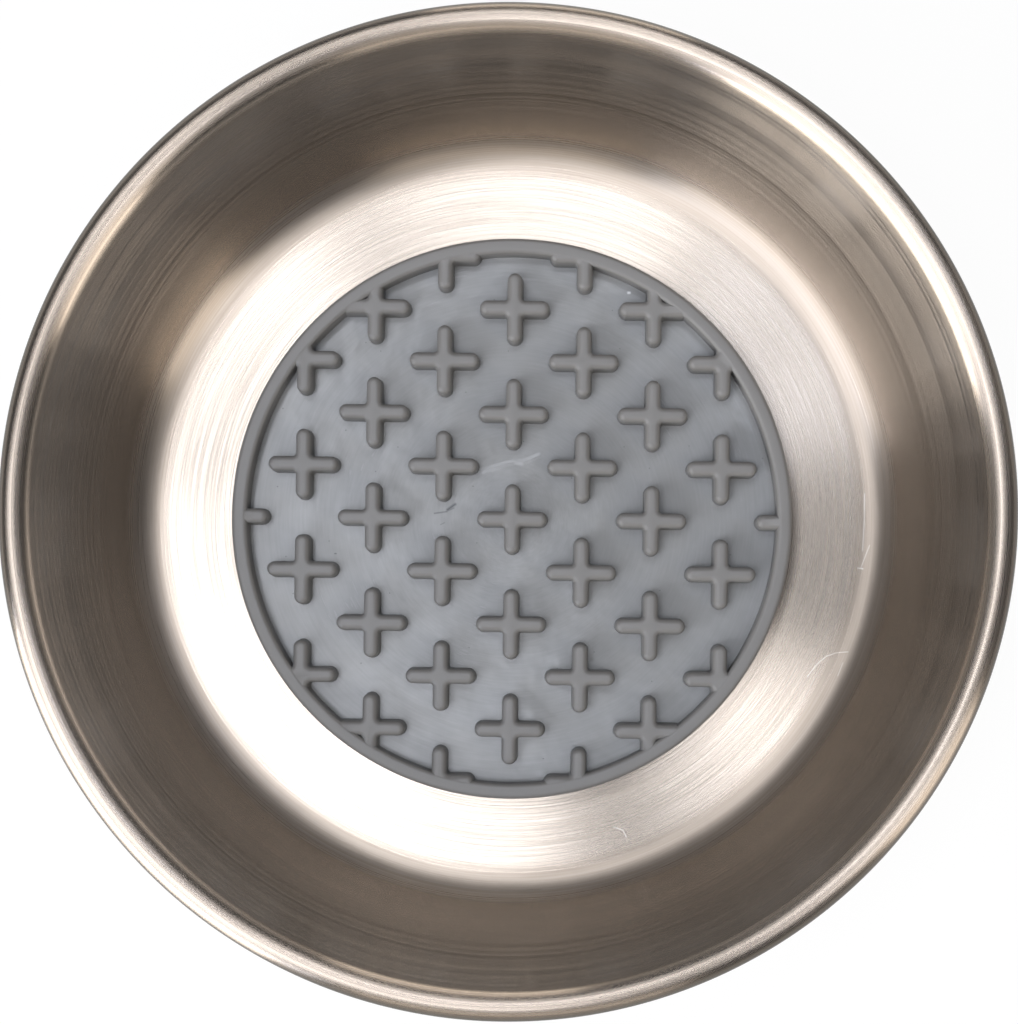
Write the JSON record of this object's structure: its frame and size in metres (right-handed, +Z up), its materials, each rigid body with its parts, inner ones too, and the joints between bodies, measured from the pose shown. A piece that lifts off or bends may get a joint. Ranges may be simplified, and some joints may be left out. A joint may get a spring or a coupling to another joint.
{
  "type": "slow feeder cat bowl",
  "caption": "Shallow round stainless steel cat bowl with a rolled rim and a lift-out silicone mat whose raised plus-shaped ridges slow down eating.",
  "frame": {"origin": "centre of the flat underside, on the bowl's axis, at the surface that it stands on", "axes": "+Z up along the bowl's axis, +X along the mat's rows of ridges"},
  "size_m": [0.152, 0.152, 0.028],
  "materials": {
    "stainless_steel": "brushed around the axis, satin, with a brighter rolled rim",
    "grey_silicone": "warm grey moulded silicone, matte on the ridges and smoother between them"
  },
  "bodies": {
    "bowl": {"bowl_shell": "stainless_steel"},
    "mat": {"feeder_mat": "grey_silicone"}
  },
  "joints": [
    {"name": "mat_lift", "type": "slide", "parent": "bowl", "child": "mat", "axis": [0, 0, 1], "range_m": [0, 0.04]}
  ]
}
